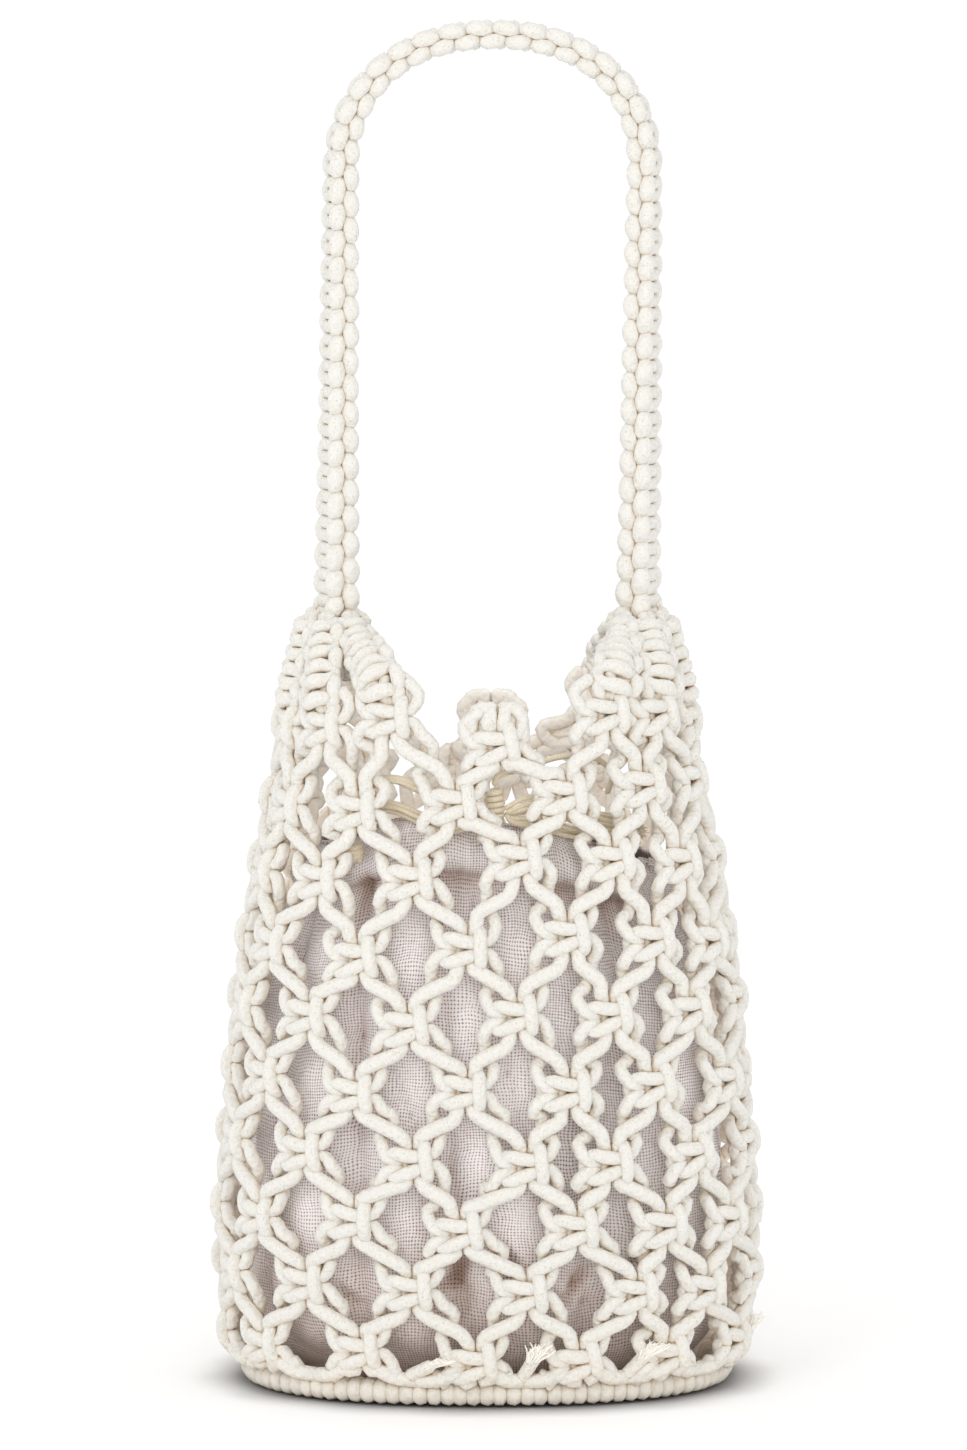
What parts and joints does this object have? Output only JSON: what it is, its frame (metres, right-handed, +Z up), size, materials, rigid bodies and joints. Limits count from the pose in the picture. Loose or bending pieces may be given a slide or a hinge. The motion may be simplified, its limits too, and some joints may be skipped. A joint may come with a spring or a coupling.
{
  "type": "net bag",
  "caption": "Knotted rope net bag with an oval base, ribbed shoulders, one tall arched handle and a linen drawstring pouch inside",
  "frame": {"origin": "on the ground under the middle of the bag, at the bottom centre of the bounding box", "axes": "X across the bag, towards its right as seen from the front; Y from the front, which is negative, to the back; Z up, along the handle"},
  "size_m": [0.2322, 0.1669, 0.5727],
  "materials": {
    "cotton_rope": "matte braided cotton",
    "linen": "matte coarse open weave",
    "waxed_cord": "waxed twisted cord, low sheen"
  },
  "bodies": {
    "root": {"base_panel": "cotton_rope", "base_rim": "cotton_rope", "net_body": "cotton_rope", "handle": "cotton_rope", "gather_left": "cotton_rope", "gather_right": "cotton_rope", "pouch": "linen", "sinnet_left_1": "cotton_rope", "sinnet_left_2": "cotton_rope", "sinnet_left_3": "cotton_rope", "sinnet_left_4": "cotton_rope", "sinnet_left_5": "cotton_rope", "sinnet_left_6": "cotton_rope", "sinnet_right_1": "cotton_rope", "sinnet_right_2": "cotton_rope", "sinnet_right_3": "cotton_rope", "sinnet_right_4": "cotton_rope", "sinnet_right_5": "cotton_rope", "sinnet_right_6": "cotton_rope", "picot_front_a": "cotton_rope", "picot_front_b": "cotton_rope", "picot_back_a": "cotton_rope", "picot_back_b": "cotton_rope", "rope_end_left": "cotton_rope", "rope_end_middle": "cotton_rope", "rope_end_right": "cotton_rope", "rope_end_side": "cotton_rope", "drawstring_neck": "waxed_cord", "drawstring_knot": "waxed_cord", "drawstring_left": "waxed_cord", "drawstring_right": "waxed_cord", "drawstring_loop": "waxed_cord", "drawstring_stop": "waxed_cord", "drawstring_tuft": "waxed_cord"}
  },
  "joints": []
}
